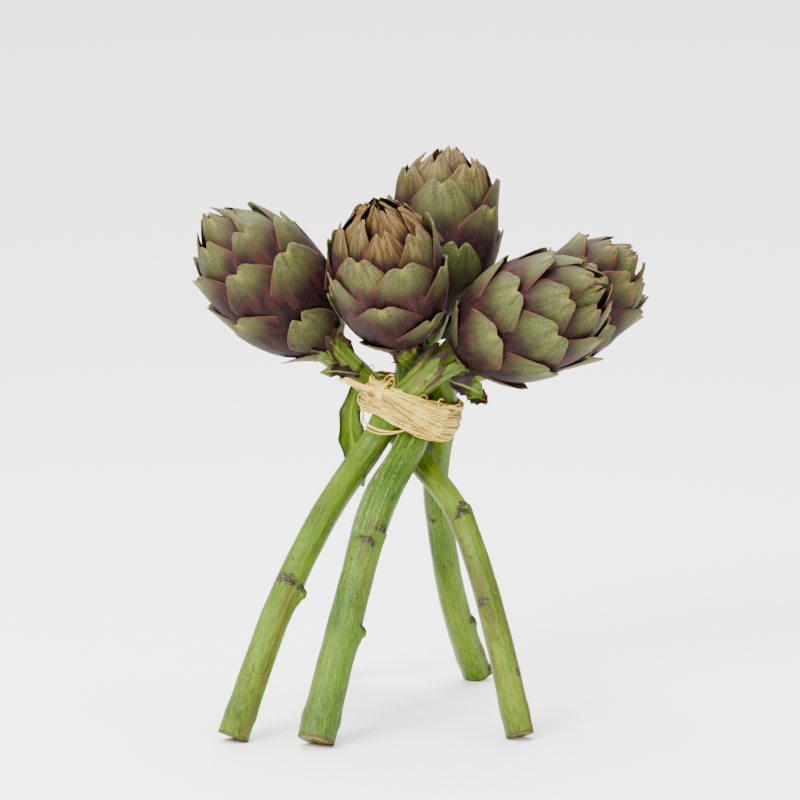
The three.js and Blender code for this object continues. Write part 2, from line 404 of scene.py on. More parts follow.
def stalk_skin(name, deep, light):
    s = Shader("stalk_" + name)
    rib, scar, bruise, cut, neck = (s.attribute(label) for label in ("rib", "scar", "bruise", "cut", "neck"))
    across, along = s.attribute("across"), s.attribute("along")
    place = s.place()
    streaks = s.noise(s.vector(across, s.times(along, 0.035), 0.0), 1.1, 4.0)
    fine = s.noise(s.vector(across, s.times(along, 0.05), 3.0), 4.6, 3.0)
    broad = s.noise(place, 22.0, 2.0)
    green = s.mix(s.step(broad, 0.35, 0.68), deep, light)
    green = s.mix(s.step(streaks, 0.45, 0.72, 0.0, 0.45), green, (0.125, 0.185, 0.006))
    green = s.mix(s.step(streaks, 0.5, 0.28, 0.0, 0.4), green, (0.010, 0.028, 0.001))
    green = s.mix(s.step(fine, 0.52, 0.68, 0.0, 0.5), green, (0.18, 0.23, 0.012))
    green = s.mix(s.step(fine, 0.48, 0.32, 0.0, 0.55), green, (0.012, 0.028, 0.001))
    # The ribs' pale green is partly their own colour and partly a painted highlight, broken into streaks
    # where the ridges catch the light.
    glint = s.noise(s.vector(across, s.times(along, 0.6), 5.0), 0.9, 4.0, 0.7)
    green = s.mix(s.times(s.step(rib, 0.35, 0.98), s.step(glint, 0.44, 0.62), 0.6), green, (0.40, 0.45, 0.20))
    worn = s.noise(s.vector(across, s.times(along, 0.09), 12.0), 1.6, 4.0, 0.65)
    brown = s.mix(s.step(worn, 0.5, 0.7), (0.070, 0.060, 0.007), (0.018, 0.012, 0.003))
    hurt = s.step(s.sum(bruise, s.times(s.sum(worn, -0.5), 3.0)), 0.42, 0.8)
    green = s.mix(s.times(hurt, 0.8), green, brown)
    stains = s.times(s.step(s.noise(place, 24.0, 3.0), 0.56, 0.7), s.step(worn, 0.44, 0.62), 0.5)
    green = s.mix(stains, green, (0.075, 0.060, 0.008))
    crowd = s.step(s.noise(place, 40.0, 2.0), 0.40, 0.66, 0.0, 0.11)
    specks = s.sum(s.noise(s.vector(across, s.times(along, 0.6), 9.0), 1.5, 2.0, 0.5), crowd)
    green = s.mix(s.step(specks, 0.69, 0.74, 0.0, 0.85), green, (0.014, 0.011, 0.004))
    blush = s.times(s.step(s.sum(neck, s.times(s.sum(broad, -0.5), 0.9)), 0.2, 0.85), 0.8)
    green = s.mix(blush, green, s.mix(streaks, (0.06, 0.022, 0.012), (0.13, 0.085, 0.025)))
    grit = s.noise(place, 420.0, 5.0, 0.7)
    crust = s.step(s.sum(scar, s.times(s.sum(grit, -0.5), 2.0)), 0.32, 0.62)
    dirt = s.mix(s.step(s.noise(place, 700.0, 3.0), 0.35, 0.68), (0.005, 0.004, 0.002), (0.055, 0.048, 0.021))
    green = s.mix(s.times(crust, 0.95), green, dirt)
    foot = s.times(s.step(s.sum(along, s.times(s.sum(fine, -0.5), 5.0)), 2.6, 0.8), 0.85)
    green = s.mix(foot, green, (0.040, 0.032, 0.007))
    rim = s.mix(s.noise(place, 700.0, 3.0), (0.010, 0.012, 0.002), (0.085, 0.060, 0.012))
    pith = s.mix(s.step(s.noise(place, 800.0, 3.0), 0.4, 0.65), (0.25, 0.19, 0.035), (0.055, 0.045, 0.008))
    face = s.mix(s.step(s.sum(cut, s.times(s.sum(grit, -0.5), 0.35)), 0.5, 0.72), rim, pith)
    colour = s.mix(s.step(cut, 0.1, 0.25), green, face)
    height = s.sum(s.times(fine, 0.6), s.times(streaks, 0.5), s.times(crust, s.noise(place, 700.0, 3.0), 1.6),
                   s.times(hurt, worn, 0.5))
    s.bump(height, 0.55, 0.35 * MM)
    return s.finish(colour, s.step(fine, 0.3, 0.7, 0.38, 0.56), Specular_IOR_Level=0.15)


# The deep and the light green of each stalk's skin.
GREENS = {
    "left": ((0.032, 0.058, 0.001), (0.088, 0.136, 0.002)),
    "front": ((0.024, 0.058, 0.001), (0.078, 0.146, 0.003)),
    "back": ((0.012, 0.044, 0.003), (0.050, 0.112, 0.004)),
    "right": ((0.024, 0.060, 0.001), (0.078, 0.148, 0.002)),
    "far": ((0.026, 0.056, 0.001), (0.080, 0.130, 0.003)),
}
stalk_ways = {name: stalk_line(name) for name in HEADS}
for name in HEADS:
    mesh = stalk_mesh(name, *stalk_ways[name])
    add_piece("stem_" + name, mesh, stalk_skin(name, *GREENS[name]), "stalk", "stalk_" + name)

# ---- Heads --------------------------------------------------------------------------------
# Each head is a spiral of thick scales, the bracts, growing from the top of the stalk. They lie
# on each other like tiles, with notched tips, and the shut inner ones dry brown at the top.
GOLDEN_ANGLE = math.pi * (3 - math.sqrt(5))
BRACTS = 33
BRACT_THICKNESS = 1.1 * MM
BLANK_CELLS = (14, 14)        # across and along
HEAD_DROP = 3 * MM            # the lowest bracts start below the bud
# The head's radius in shares of its girth, from its base to its top.
HEAD_OUTLINE = ((0, 0.37), (0.05, 0.52), (0.12, 0.72), (0.23, 0.90), (0.37, 1.0), (0.52, 0.985),
                (0.67, 0.90), (0.81, 0.73), (0.93, 0.47), (1.0, 0.22))
# From the lowest bract to the innermost one: how high its tip is and how long it is, in shares of the
# head's length, its half width in shares of the girth, and how far out it stays.
TIP_HEIGHT = ((0, 0.05), (0.07, 0.2), (0.15, 0.38), (0.28, 0.57), (0.5, 0.80), (0.68, 0.92),
              (0.82, 0.98), (1, 0.96))
BRACT_LENGTH = ((0, 0.17), (0.07, 0.24), (0.15, 0.38), (0.28, 0.55), (0.5, 0.66), (0.7, 0.62), (1, 0.5))
BRACT_WIDTH = ((0, 0.30), (0.07, 0.48), (0.15, 0.70), (0.28, 0.84), (0.5, 0.80), (0.7, 0.64), (1, 0.42))
TUCKED_IN = ((0, 1), (0.60, 1), (0.72, 0.93), (0.82, 0.72), (0.92, 0.42), (1, 0.12))
BRACT_HOLLOW = 4.0 * MM       # how much deeper a bract's foot lies than its tip
HOLLOW_REACH = 13 * MM        # how quickly it gets there, below the tip
NOTCH_DEPTH = (1.2 * MM, 5.2 * MM)    # of the shallowest and the deepest notch in a tip
TORN_TIP = 8 * MM             # how ragged a dry tip is
FOLD_IN, FOLD_DOWN = 7.5 * MM, 3.5 * MM   # how far an old tip closes over the top
CRUMPLE = (1.5 * MM, 7.0 * MM)        # of every bract, and more for the old and dry
STRAY = 0.14                  # radians, from side to side, by which bracts stray from the spiral
TIP_SPREAD = 3.5 * MM         # by which the heights of tips vary
EDGE_PRESS = 0.7 * MM         # how much closer in a bract's sides lie than its middle
TIP_REACH = 1.5 * MM          # how near the head's middle line a tip may come
TIGHTEST = 7 * MM             # the smallest radius that a bract bends to
OLD_BRACTS = (0.44, 0.68)     # up the spiral, between these, bracts start to close over the top
DRY_BRACTS = (0.32, 0.66)     # and between these they start to dry
# The pieces of a head: name, the row of nodes it stands for, its first bract and how many it has.
ROWS = (("outer_bracts", "low", 0, 9), ("inner_bracts", "high", 9, 9), ("crown", None, 18, 15))
# How each head differs: which way its spiral runs, the turn of it, its length against the bud's, its
# girth (half its width) in mm, how far its tips stand off in mm, how open its top is, how dry it is
# there, how purple it is, and its own random start.
HEAD_KINDS = {
    "left": (-1, 1.05, 1.035, 32.0, 1.2, 0.0, 0.12, 0.85, 3),
    "front": (-1, 4.01, 1.0, 31.0, 0.3, 0.03, 0.85, 1.05, 5),
    "back": (-1, 6.0, 1.015, 30.5, 0.3, 0.20, 0.8, 0.85, 8),
    "right": (1, 0.49, 1.02, 32.5, 0.4, 0.03, 0.15, 0.95, 13),
    "far": (-1, 0.91, 1.055, 29.5, 0.8, 0.18, 0.4, 1.0, 21),
}


def closed_sheet(across, along, place):
    """A thin closed shell. place(a, b, side) gives its point at a from -1 to 1 and b from 0 to 1."""
    points, faces, cells = [], [], []
    for side in (0, 1):
        for j in range(along + 1):
            for i in range(across + 1):
                cells.append((2 * i / across - 1, j / along, side))
                points.append(place(*cells[-1]))
    row, layer = across + 1, (across + 1) * (along + 1)
    for j in range(along):
        for i in range(across):
            a = j * row + i
            faces.append((a, a + row, a + row + 1, a + 1))
            faces.append((layer + a, layer + a + 1, layer + a + row + 1, layer + a + row))
    edge = [i for i in range(across)] + [j * row + across for j in range(along)]
    edge += [along * row + i for i in range(across, 0, -1)] + [j * row for j in range(along, 0, -1)]
    for a, b in zip(edge, edge[1:] + edge[:1]):
        faces.append((a, b, b + layer, a + layer))
    return points, faces, cells


def bract_blank():
    """One flat bract of length and half width 1, with the masks that its finished form needs."""
    def place(a, b, side):
        low, high = min(b / 0.5, 1), max((b - 0.5) / 0.5, 0)
        half = 0.6 + 0.4 * math.sin(low * math.pi / 2) - 0.66 * high ** 1.5
        shoulder = 0.06 * a ** 4 * b ** 5
        body = 1 - 0.6 * a * a - 0.25 * b
        ridge = 0.3 * math.exp(-(a / 0.12) ** 2) * (1 - b)
        return a * half, b - shoulder, side * (body + ridge)

    points, faces, cells = closed_sheet(*BLANK_CELLS, place)
    mesh = new_mesh("bract_blank", points, faces)
    put_attribute(mesh, "edge", [a for a, b, side in cells])
    put_attribute(mesh, "dent", [max(0, 1 - abs(a) / 0.42) ** 1.3 * b ** 8 for a, b, side in cells])
    blank = bpy.data.objects.new("bract_blank", mesh)
    bpy.context.scene.collection.objects.link(blank)
    return blank


class Rule(Nodes):
    """A geometry nodes tree with named inputs, which bends numbered copies of one thing."""

    def __init__(self, name, inputs):
        super().__init__(bpy.data.node_groups.new(name, "GeometryNodeTree"))
        interface = self.tree.interface
        interface.new_socket("Geometry", in_out="OUTPUT", socket_type="NodeSocketGeometry")
        self.sockets = {label: interface.new_socket(label, in_out="INPUT", socket_type="NodeSocket" + kind)
                        for label, kind in inputs}
        self.given = self.tree.nodes.new("NodeGroupInput").outputs
        self.number = self.named("number")

    def named(self, name):
        return self.add("GeometryNodeInputNamedAttribute", {"data_type": "FLOAT"}, Name=name).outputs[0]

    def store(self, geometry, name, value):
        node = self.add("GeometryNodeStoreNamedAttribute", {"data_type": "FLOAT", "domain": "POINT"},
                        Geometry=geometry, Name=name, Value=value)
        return node.outputs[0]

    def copies(self, thing, count, first):
        """Copies of a thing, all in one place, each with its number on every point."""
        line = self.add("GeometryNodeMeshLine", Count=count, Offset=(0, 0, 0))
        index = self.tree.nodes.new("GeometryNodeInputIndex").outputs[0]
        stored = self.store(line.outputs[0], "number", self.sum(index, first))
        placed = self.add("GeometryNodeInstanceOnPoints", Points=stored, Instance=thing)
        return self.add("GeometryNodeRealizeInstances", Geometry=placed.outputs[0]).outputs[0]

    def position(self):
        where = self.tree.nodes.new("GeometryNodeInputPosition").outputs[0]
        return self.add("ShaderNodeSeparateXYZ", Vector=where).outputs

    def chance(self, salt):
        """A random share from 0 to 1 for each copy."""
        node = self.add("FunctionNodeRandomValue", {"data_type": "FLOAT"}, ID=self.number,
                        Seed=self.math("ADD", self.given["Seed"], salt))
        return next(o for o in node.outputs if o.enabled)

    def close(self, geometry):
        """Ends the tree, and gives back what run_rule needs."""
        whole = self.add("GeometryNodeRealizeInstances", Geometry=geometry)
        skinned = self.add("GeometryNodeSetMaterial", Geometry=whole.outputs[0], Material=self.given["Skin"])
        end = self.tree.nodes.new("NodeGroupOutput")
        self.tree.links.new(skinned.outputs[0], end.inputs[0])
        return self.tree, self.sockets


def spiral_rule():
    """Geometry nodes that copy the blank up a spiral and bend each copy round the head."""
    n = Rule("spiral_of_bracts", (
        ("Blank", "Object"), ("Skin", "Material"), ("First", "Int"), ("Count", "Int"), ("Hand", "Float"),
        ("Turn", "Float"), ("Length", "Float"), ("Girth", "Float"), ("Stand Off", "Float"),
        ("Mouth", "Float"), ("Dryness", "Float"), ("Seed", "Int")))
    given, number, chance = n.given, n.number, n.chance
    shape = n.add("GeometryNodeObjectInfo", Object=given["Blank"]).outputs["Geometry"]
    real = n.copies(shape, given["Count"], given["First"])
    # On the blank u runs across, v from foot to tip and w through the thickness.
    u, v, w = n.position()
    dent = n.named("dent")
    age = n.math("DIVIDE", number, BRACTS - 1.0)
    size = given["Length"]
    old = n.step(age, *OLD_BRACTS)
    tip = n.sum(n.times(size, n.curve(age, TIP_HEIGHT)), n.times(n.sum(chance(1), -0.5), TIP_SPREAD))
    length = n.times(size, n.curve(age, BRACT_LENGTH))
    half = n.times(given["Girth"], n.curve(age, BRACT_WIDTH), n.sum(n.times(chance(2), 0.16), 0.92))
    notch = n.times(dent, n.sum(n.times(chance(6), NOTCH_DEPTH[1] - NOTCH_DEPTH[0]), NOTCH_DEPTH[0]))
    below = n.sum(n.times(length, n.math("SUBTRACT", 1.0, v)), notch)
    ragged = n.noise(n.vector(n.times(u, 6.0), n.times(number, 2.3), given["Seed"]), 1.0, 3.0)
    torn = n.times(n.sum(ragged, -0.5), old, given["Dryness"], n.math("POWER", v, 8.0), TORN_TIP)
    fold = n.times(n.math("POWER", v, 4.0), old)
    height = n.sum(tip, torn, n.times(below, -1.0), n.times(fold, -FOLD_DOWN))
    share = n.math("DIVIDE", height, size)
    open_top = n.times(given["Mouth"], n.step(share, 0.55, 1.0))
    around = n.times(given["Girth"], n.sum(n.curve(share, HEAD_OUTLINE), open_top), n.curve(age, TUCKED_IN))
    shallow = n.math("EXPONENT", n.times(below, -1 / HOLLOW_REACH))
    depth = n.times(n.math("SUBTRACT", 1.0, shallow), -BRACT_HOLLOW)
    off = n.times(given["Stand Off"], n.math("POWER", v, 6.0), n.sum(chance(3), 0.2))
    press = n.times(u, u, -EDGE_PRESS)
    grain = n.noise(n.vector(n.times(u, 2.2), n.times(v, 4.0), n.times(number, 3.7)), 1.0, 2.0)
    crumple = n.sum(CRUMPLE[0], n.times(old, given["Dryness"], CRUMPLE[1]))
    wrinkle = n.times(n.sum(grain, -0.5), v, crumple)
    radius = n.sum(around, depth, off, press, wrinkle, n.times(fold, -FOLD_IN), n.times(w, BRACT_THICKNESS))
    radius = n.math("MAXIMUM", radius, TIP_REACH)
    swing = n.math("DIVIDE", n.times(u, half), n.math("MAXIMUM", around, TIGHTEST))
    angle = n.sum(n.times(number, given["Hand"], GOLDEN_ANGLE), given["Turn"],
                  n.times(n.sum(chance(4), -0.5), STRAY), swing)
    bent = n.vector(n.times(radius, n.math("SINE", angle)),
                    n.times(radius, n.math("COSINE", angle), -1.0), height)
    measured = n.store(real, "below", n.times(below, 1 / MM))
    moved = n.add("GeometryNodeSetPosition", Geometry=measured, Position=bent)
    return n.close(n.store(moved.outputs[0], "tone", chance(5)))


def run_rule(rule, **values):
    """The plain mesh that a geometry nodes rule makes from these inputs."""
    tree, sockets = rule
    host = bpy.data.objects.new("host", bpy.data.meshes.new("host"))
    bpy.context.scene.collection.objects.link(host)
    modifier = host.modifiers.new("rule", "NODES")
    modifier.node_group = tree
    for label, value in values.items():
        modifier[sockets[label.replace("_", " ")].identifier] = value
    bpy.context.view_layer.update()
    depsgraph = bpy.context.evaluated_depsgraph_get()
    mesh = bpy.data.meshes.new_from_object(host.evaluated_get(depsgraph), preserve_all_data_layers=True,
                                           depsgraph=depsgraph)
    bpy.data.objects.remove(host)
    return mesh


def bract_skin(name, dryness, purple):
    s = Shader("bract_" + name)
    below, edge, tone, number = (s.attribute(label) for label in ("below", "edge", "tone", "number"))
    place = s.place()
    rim = s.math("ABSOLUTE", edge)
    broad, fine = s.noise(place, 110.0, 3.0), s.noise(place, 1500.0, 2.0)
    veins = s.noise(s.vector(s.times(edge, 6.0), s.times(below, 0.07), s.times(number, 5.1)), 1.0, 5.0, 0.6)
    dark = s.mix(broad, (0.0025, 0.0006, 0.001), (0.010, 0.0022, 0.0035))
    violet = s.mix(s.step(veins, 0.38, 0.7), dark, (0.032, 0.0070, 0.0085))
    green = s.mix(s.step(veins, 0.3, 0.75), (0.028, 0.035, 0.008), (0.068, 0.080, 0.019))
    green = s.mix(s.times(tone, 0.5), green, (0.050, 0.044, 0.014))
    wander = s.sum(s.times(s.sum(broad, -0.5), 13.0), s.times(s.sum(veins, -0.5), 9.0),
                   s.times(s.sum(fine, -0.5), 7.0))
    reach = s.sum(below, wander, s.times(rim, rim, 7.0), s.times(s.sum(tone, -0.5), 8.0))
    colour = s.mix(s.step(reach, 36.0 - 15.0 * purple, 13.0 - 8.0 * purple), violet, green)
    # Painted shade: far down, under the bracts that cover it, each bract turns almost black.
    colour = s.mix(s.step(reach, 21.0, 38.0, 0.0, 0.7), colour, (0.0035, 0.0009, 0.0018))
    notch = s.times(s.step(rim, 0.26, 0.04), s.step(below, 9.0, 2.0))
    colour = s.mix(s.times(notch, 0.5), colour, (0.20, 0.18, 0.02))
    old = s.step(number, DRY_BRACTS[0] * BRACTS, DRY_BRACTS[1] * BRACTS)
    top = s.step(s.sum(below, s.times(wander, 0.6)), 4.0 + 17.0 * dryness, 1.0 + 6.0 * dryness)
    dried = s.times(old, top)
    straw = s.mix(s.step(veins, 0.4, 0.7), (0.032, 0.013, 0.002), (0.18, 0.10, 0.025))
    colour = s.mix(s.times(dried, 0.35 + 0.6 * dryness), colour, straw)
    thin = s.math("MAXIMUM", s.step(rim, 0.93, 1.02), s.step(below, 1.2, 0.2))
    colour = s.mix(s.times(thin, 0.55), colour, (0.14, 0.055, 0.026))
    flush = s.times(s.step(rim, 0.70, 0.95), s.step(below, 30.0, 3.0), 0.45)
    colour = s.mix(flush, colour, (0.060, 0.012, 0.011))
    # Dusty grey bloom, which the bracts really have, mixed with a painted highlight: it is laid on most near
    # the tips, where the light falls.
    bloom_and_highlight = s.times(s.step(fine, 0.45, 0.75), s.step(reach, 18.0, 4.0, 0.04, 0.26),
                    s.step(broad, 0.3, 0.6, 0.5, 1.0))
    colour = s.mix(bloom_and_highlight, colour, (0.37, 0.33, 0.25))
    spots = s.step(s.noise(place, 420.0, 3.0, 0.5), 0.62, 0.72)
    colour = s.mix(s.times(spots, 0.45), colour, (0.030, 0.018, 0.008))
    s.bump(s.sum(s.times(veins, 0.7), s.times(fine, 0.3), s.times(dried, s.noise(place, 500.0, 4.0), 1.5)),
           0.5, 0.5 * MM)
    return s.finish(colour, s.step(fine, 0.3, 0.7, 0.5, 0.66), Specular_IOR_Level=0.07)


blank = bract_blank()
bract_rule = spiral_rule()
for name in HEADS:
    hand, turn, growth, girth, stand_off, mouth, dryness, purple, seed = HEAD_KINDS[name]
    base, axis, front, side, length = head_frame(name)
    skin = bract_skin(name, dryness, purple)
    home = Matrix((side, -front, axis)).transposed().to_4x4()
    home.translation = Vector(base - axis * HEAD_DROP)
    for label, row, first, count in ROWS:
        mesh = run_rule(bract_rule, Blank=blank, Skin=skin, First=first, Count=count, Hand=float(hand),
                        Turn=turn, Length=length * growth + HEAD_DROP, Girth=girth * MM,
                        Stand_Off=stand_off * MM, Mouth=mouth, Dryness=dryness, Seed=seed)
        mesh.transform(home)
        nodes = [f"bract_{name}_{row}_{i}" for i in range(1, 5)] if row else ["bud_" + name]
        add_piece(f"{label}_{name}", mesh, skin, "bract" if row else "bud", *nodes)

bpy.data.objects.remove(blank)

# ---- Raffia -------------------------------------------------------------------------------
# A hank of flat raffia fibres is wound round the five necks, with its knot at the upper left.
# One cut tail of it points left, and a few thin fibres have come loose in curls.
TIE_TILT = 0.33               # radians, down to the right
TIE_SHEAR = 4.9 * MM          # the solid band is sheared, so its middle lies this much further left
STRANDS = 74
TURN_STEPS = 72               # straight lengths in each turn
STRAND_WIDTH = 1.25 * MM
STRAND_DEPTH = 0.16 * MM
STRAND_LAYER = 3.0 * MM       # how much the strands' distance from the necks varies
STRAND_DRIFT = 4.5 * MM       # how far a strand wanders up and down
STRAND_SWAY = 1.6 * MM        # how far it slants across the others
STRAND_KINK = 1.6 * MM        # how unevenly it lies, in and out
EDGE_DRAW_IN = 1.7 * MM       # the band is this much slimmer at its edges
BULGE_TURN = math.radians(60)     # where two of the stalks push the band out
BULGE = 5.0 * MM
KNOT_TURN = math.radians(-128)
KNOT_RISE = 1.2 * MM          # the turns bunch upwards under the knot
KNOT_PINCH = 0.16             # and the band is this share narrower there
# Turns a place into the tilted band's own directions.
TIE_LEAN = np.array([[math.cos(TIE_TILT), 0, -math.sin(TIE_TILT)], [0, 1, 0],
                     [math.sin(TIE_TILT), 0, math.cos(TIE_TILT)]])


def tie_ring():
    """Middle, radius and half height of the wound band, from the CAD tie."""
    points = triangles("raffia_tie").reshape(-1, 3) @ TIE_LEAN.T
    radius = (points[:, 1].max() - points[:, 1].min()) / 2
    middle = np.array([points[:, 0].max() - radius - TIE_SHEAR, points[:, 1].min() + radius, 0])
    right = points[points[:, 0] > middle[0] + radius / 2, 2]
    middle[2] = (right.max() + right.min()) / 2
    return middle @ TIE_LEAN, radius, (right.max() - right.min()) / 2


def winding_rule():
    """Geometry nodes that wind flat strands into a band, pinched where the knot holds it."""
    n = Rule("wound_raffia", (
        ("Skin", "Material"), ("Strands", "Int"), ("Radius", "Float"), ("Half Height", "Float"),
        ("Width", "Float"), ("Depth", "Float"), ("Knot Turn", "Float"), ("Bulge Turn", "Float"),
        ("Seed", "Int")))
    given, number, chance = n.given, n.number, n.chance
    hoop = n.add("GeometryNodeCurvePrimitiveCircle", {"mode": "RADIUS"}, Resolution=TURN_STEPS, Radius=1.0)
    real = n.copies(hoop.outputs[0], given["Strands"], 0.0)
    x, y, _ = n.position()
    turn = n.math("ARCTAN2", y, x)
    gap = n.math("WRAP", n.math("SUBTRACT", turn, given["Knot Turn"]), math.pi, -math.pi)
    near = n.math("EXPONENT", n.times(gap, gap, -2.2))
    share = n.sum(n.times(n.math("DIVIDE", number, given["Strands"]), 2.0), -1.0)
    level = n.times(share, given["Half Height"])
    drift = n.noise(n.vector(n.times(x, 1.3), n.times(y, 1.3), n.times(number, 1.7)), 1.0, 2.0)
    sway = n.times(n.math("SINE", n.sum(turn, n.times(chance(1), 2 * math.pi))), chance(2), STRAND_SWAY)
    height = n.sum(n.times(level, n.sum(1.0, n.times(near, -KNOT_PINCH))),
                   n.times(n.sum(drift, -0.5), STRAND_DRIFT), sway, n.times(near, KNOT_RISE))
    layer = n.times(n.sum(chance(3), -0.8), STRAND_LAYER)
    drawn_in = n.times(share, share, -EDGE_DRAW_IN)
    kinks = n.noise(n.vector(n.times(x, 2.5), n.times(y, 2.5), n.times(number, 4.1)), 1.0, 2.0)
    lift = n.times(n.sum(kinks, -0.5), STRAND_KINK)
    toward = n.math("WRAP", n.math("SUBTRACT", turn, given["Bulge Turn"]), math.pi, -math.pi)
    pushed = n.times(n.math("EXPONENT", n.times(toward, toward, -1.0)), BULGE)
    radius = n.sum(given["Radius"], layer, drawn_in, lift, pushed)
    moved = n.add("GeometryNodeSetPosition", Geometry=real,
                  Position=n.vector(n.times(x, radius), n.times(y, radius), height))
    upright = n.add("GeometryNodeSetCurveNormal", {"mode": "Z_UP"}, Curve=moved.outputs[0])
    tilted = n.add("GeometryNodeSetCurveTilt", Curve=upright.outputs[0],
                   Tilt=n.times(n.sum(chance(4), -0.5), 0.9))
    profile = n.add("GeometryNodeCurvePrimitiveQuadrilateral", {"mode": "RECTANGLE"},
                    Width=given["Depth"], Height=given["Width"])
    flat = n.add("GeometryNodeCurveToMesh", Curve=tilted.outputs[0], Profile_Curve=profile.outputs[0],
                 Scale=n.sum(0.6, n.times(chance(5), 0.9)))
    return n.close(n.store(flat.outputs[0], "tone", chance(6)))


def raffia_skin():
    s = Shader("raffia")
    tone, place = s.attribute("tone"), s.place()
    turned = s.add("ShaderNodeMapping", Vector=place, Rotation=(0, -TIE_TILT, 0), Scale=(1, 1, 14)).outputs[0]
    fibres, patches = s.noise(turned, 130.0, 4.0, 0.6), s.noise(place, 120.0, 3.0)
    straw = s.mix(tone, (0.38, 0.23, 0.022), (0.78, 0.57, 0.080))
    straw = s.mix(s.step(tone, 0.40, 0.10), straw, (0.20, 0.11, 0.014))
    straw = s.mix(s.step(fibres, 0.44, 0.66, 0.0, 0.72), straw, (0.17, 0.095, 0.014))
    straw = s.mix(s.step(patches, 0.5, 0.75, 0.0, 0.4), straw, (0.86, 0.68, 0.14))
    s.bump(fibres, 0.9, 0.4 * MM)
    return s.finish(straw, s.step(fibres, 0.3, 0.7, 0.5, 0.7), Specular_IOR_Level=0.15)


def ribbon(way, out, width, depth, tone, points, faces, tones):
    """Adds a flat strand along a way, with its broad side facing the out directions."""
    ahead = headings(way)
    across = np.cross(ahead, out)
    across /= np.linalg.norm(across, axis=1)[:, None]
    out = np.cross(across, ahead)
    first = len(points)
    for i, centre in enumerate(way):
        taper = width * (0.55 if i in (0, len(way) - 1) else 1)
        for a, b in ((-1, -1), (1, -1), (1, 1), (-1, 1)):
            points.append(tuple(centre + across[i] * a * taper / 2 + out[i] * b * depth / 2))
            tones.append(tone)
    for i in range(len(way) - 1):
        for k in range(4):
            a, b = first + 4 * i + k, first + 4 * i + (k + 1) % 4
            faces.append((a, a + 4, b + 4, b))
    last = first + 4 * (len(way) - 1)
    faces.append((first, first + 1, first + 2, first + 3))
    faces.append((last + 3, last + 2, last + 1, last))


def through(stops, steps):
    """A smooth way through a few points, at even steps of its parameter."""
    stops = np.array(stops, float)
    ends = np.vstack([2 * stops[0] - stops[1], stops, 2 * stops[-1] - stops[-2]])
    way = []
    for t in np.linspace(0, len(stops) - 1, steps):
        k = min(int(t), len(stops) - 2)
        f = t - k
        a, b, c, d = ends[k:k + 4]
        square, cube = 2 * a - 5 * b + 4 * c - d, 3 * b - a - 3 * c + d
        way.append(0.5 * (2 * b + (c - a) * f + square * f * f + cube * f ** 3))
    return np.array(way)


tie_middle, tie_radius, tie_half = tie_ring()
raffia_material = raffia_skin()
band = run_rule(winding_rule(), Skin=raffia_material, Strands=STRANDS, Radius=float(tie_radius - 0.6 * MM),
                Half_Height=float(tie_half - 1.2 * MM), Width=STRAND_WIDTH, Depth=STRAND_DEPTH,
                Knot_Turn=KNOT_TURN, Bulge_Turn=BULGE_TURN, Seed=4)
tie_home = Matrix(TIE_LEAN.T.tolist()).to_4x4()
tie_home.translation = Vector(tie_middle)
band.transform(tie_home)
add_piece("raffia_windings", band, raffia_material, "raffia", "raffia_tie")

# The knot: strands come over it from the tail and fan out down the front of the band.
KNOT_STRANDS = 30
BINDING_STRANDS = 12          # the ones that run up over the band and hold the fan down
# Loose curls: turn round the band in degrees, level on it, lift off it in mm, where on its round the
# curl starts, and its half width and half height in mm.
CURLS = (
    (-125, 1.0, 1, 0.0, 2.0, 5.0), (-120, 1.05, 3, 1.0, 1.2, 3.5), (-82, 0.95, 2, 0.4, 1.4, 2.2),
    (-150, -0.1, 3, -0.5, 2.2, 3.2), (-60, 1.0, 1, 0.8, 1.2, 2.0), (150, 0.9, 3, 0.3, 2.2, 2.2),
    (60, -0.9, 3, 0.2, 2.4, 2.0),
)
# Loops that sag below the band: by what share of its half height, and how far off it in mm.
SAGGING = ((0.28, 1.2), (0.42, 2.0), (0.2, 2.6))
rng = random.Random(7)
points, faces, tones = [], [], []


def on_band(turn_degrees, level, lift):
    """A point by the band: turn round it from the right, level from -1 to 1, lift off it in mm."""
    turn = math.radians(turn_degrees)
    r = tie_radius + lift * MM
    return tie_middle + np.array([r * math.cos(turn), r * math.sin(turn), level * tie_half]) @ TIE_LEAN


def off_band(way):
    """The direction straight out from the band's middle line, at each point of a way."""
    out = way - tie_middle
    out -= np.outer(out @ TIE_LEAN[2], TIE_LEAN[2])
    return out / np.linalg.norm(out, axis=1)[:, None]


for _ in range(KNOT_STRANDS):
    fan = rng.uniform(-1, 1)
    lift = rng.uniform(0.4, 2.6)
    way = through([on_band(-168 + rng.uniform(-3, 3), 0.36 + fan * 0.12, 13.5 + rng.uniform(-1.5, 0.5)),
                   on_band(-150, 0.38 + fan * 0.12, 5 + lift * 0.5),
                   on_band(-134, 0.5 + fan * 0.2, 1.4 + lift),
                   on_band(-118, 0.55 + fan * 0.3, 1.6 + lift),
                   on_band(-98, 0.4 + fan * 0.48, 1.0 + lift * 0.5),
                   on_band(-70, 0.18 + fan * 0.7, 0.8 + lift * 0.3),
                   on_band(-42, 0.0 + fan * 0.85, 0.3)], 34)
    ribbon(way, off_band(way), rng.uniform(1.0, 2.0) * MM, STRAND_DEPTH, rng.random(), points, faces, tones)
for _ in range(BINDING_STRANDS):
    lean = rng.uniform(-4, 4)
    way = through([on_band(-127 + lean, 0.1, 1.0), on_band(-129 + lean, 0.45, 3.6 + rng.uniform(0, 1.2)),
                   on_band(-130 + lean, 0.85, 3.2 + rng.uniform(0, 1)), on_band(-130 + lean, 1.05, 0.4),
                   on_band(-128 + lean, 1.0, -3)], 16)
    ribbon(way, off_band(way), rng.uniform(1.1, 1.9) * MM, STRAND_DEPTH, rng.random(), points, faces, tones)
